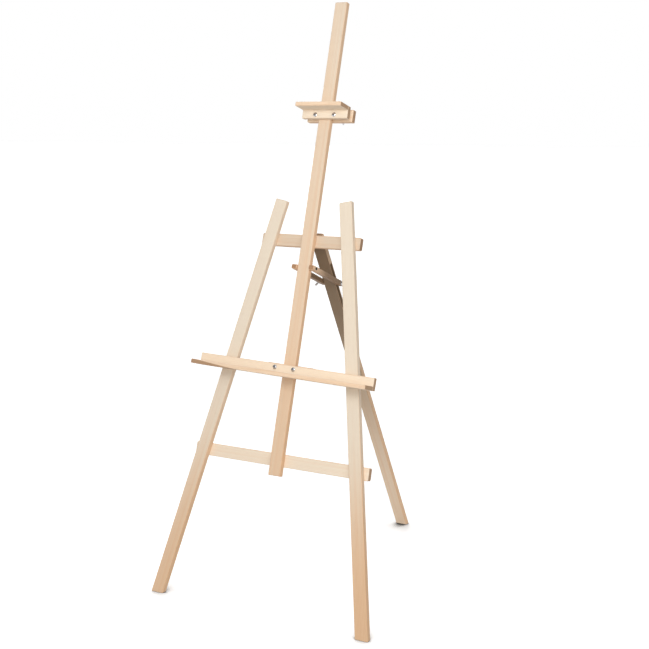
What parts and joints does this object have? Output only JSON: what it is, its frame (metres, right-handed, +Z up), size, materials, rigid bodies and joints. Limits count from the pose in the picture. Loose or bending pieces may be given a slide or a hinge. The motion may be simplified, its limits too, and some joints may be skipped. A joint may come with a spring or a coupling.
{
  "type": "artist easel",
  "caption": "Folding wooden A-frame easel with a leaning mast, a sliding canvas tray and top clamp, and a hinged rear leg held by a slotted brace.",
  "frame": {"origin": "on the floor, under the middle of the easel's footprint", "axes": "+Z up, +X to the right of a person facing the easel's front, -Y the way the front faces; the mast leans back towards +Y"},
  "size_m": [0.7002, 0.9056, 1.6525],
  "materials": {
    "wood": "planed, sanded and left unvarnished",
    "pale_wood": "planed, sanded and left unvarnished, from a paler board",
    "steel": "bright zinc-plated steel"
  },
  "bodies": {
    "front_frame": {"left_leg": "wood", "right_leg": "wood", "mast": "pale_wood", "upper_crossbar": "wood", "lower_crossbar": "wood", "hinge_frame_leaf": "steel", "hinge_pin": "steel", "hinge_frame_screw_left": "steel", "hinge_frame_screw_right": "steel", "left_pivot_screw": "steel", "right_pivot_screw": "steel", "left_pivot_washer": "steel", "right_pivot_washer": "steel", "upper_bar_left_leg_screw_1": "steel", "upper_bar_left_leg_screw_2": "steel", "upper_bar_mast_screw_1": "steel", "upper_bar_mast_screw_2": "steel", "upper_bar_right_leg_screw_1": "steel", "upper_bar_right_leg_screw_2": "steel", "lower_bar_left_leg_screw_1": "steel", "lower_bar_left_leg_screw_2": "steel", "lower_bar_mast_screw_1": "steel", "lower_bar_mast_screw_2": "steel", "lower_bar_right_leg_screw_1": "steel", "lower_bar_right_leg_screw_2": "steel"},
    "rear_leg_assembly": {"rear_leg": "wood", "hinge_leg_leaf": "steel", "hinge_leg_screw_left": "steel", "hinge_leg_screw_right": "steel"},
    "brace": {"left_brace_strip": "wood", "right_brace_strip": "wood", "brace_bolt": "steel", "brace_bolt_washer": "steel", "brace_nut_washer": "steel"},
    "brace_nut": {"brace_wing_nut": "steel"},
    "tray": {"tray_board": "pale_wood", "tray_ledge": "pale_wood", "tray_back_bar": "wood", "tray_ledge_screw_1": "steel", "tray_ledge_screw_2": "steel", "tray_ledge_screw_3": "steel", "tray_left_bolt": "steel", "tray_right_bolt": "steel", "tray_left_washer": "steel", "tray_right_washer": "steel"},
    "tray_left_nut": {"tray_left_wing_nut": "steel"},
    "tray_right_nut": {"tray_right_wing_nut": "steel"},
    "clamp": {"clamp_board": "pale_wood", "clamp_lip": "pale_wood", "clamp_back_bar": "wood", "clamp_lip_screw_1": "steel", "clamp_lip_screw_2": "steel", "clamp_left_bolt": "steel", "clamp_right_bolt": "steel", "clamp_left_washer": "steel", "clamp_right_washer": "steel"},
    "clamp_left_nut": {"clamp_left_wing_nut": "steel"},
    "clamp_right_nut": {"clamp_right_wing_nut": "steel"}
  },
  "joints": [
    {"name": "rear_leg_fold", "type": "hinge", "parent": "front_frame", "child": "rear_leg_assembly", "pos_m": [0, -0.12761, 1.00071], "axis": [1, 0, 0], "range_deg": [-41, 4.5]},
    {"name": "brace_swing", "type": "hinge", "parent": "front_frame", "child": "brace", "pos_m": [0, -0.179, 0.9187], "axis": [1, 0, 0], "range_deg": [-63.2, 7.5]},
    {"name": "tray_slide", "type": "slide", "parent": "front_frame", "child": "tray", "axis": [0, 0.2756, 0.9613], "range_m": [-0.2, 0.24]},
    {"name": "clamp_slide", "type": "slide", "parent": "front_frame", "child": "clamp", "axis": [0, 0.2756, 0.9613], "range_m": [-0.3, 0.295]},
    {"name": "brace_wing_nut_turn", "type": "hinge", "parent": "brace", "child": "brace_nut", "pos_m": [-0.0373, -0.03657, 0.86284], "axis": [-1, 0, 0], "continuous": true},
    {"name": "tray_left_wing_nut_turn", "type": "hinge", "parent": "tray", "child": "tray_left_nut", "pos_m": [-0.0373, -0.23384, 0.63932], "axis": [0, 0.9613, -0.2756], "continuous": true},
    {"name": "tray_right_wing_nut_turn", "type": "hinge", "parent": "tray", "child": "tray_right_nut", "pos_m": [0.02267, -0.2343, 0.63771], "axis": [0, 0.9613, -0.2756], "continuous": true},
    {"name": "clamp_left_wing_nut_turn", "type": "hinge", "parent": "clamp", "child": "clamp_left_nut", "pos_m": [-0.0232, -0.03685, 1.3263], "axis": [0, 0.9613, -0.2756], "continuous": true},
    {"name": "clamp_right_wing_nut_turn", "type": "hinge", "parent": "clamp", "child": "clamp_right_nut", "pos_m": [0.0368, -0.03685, 1.3263], "axis": [0, 0.9613, -0.2756], "continuous": true}
  ],
  "couplings": [
    {"joint": "brace_swing", "follows": "rear_leg_fold", "ratio": 1.5265}
  ]
}
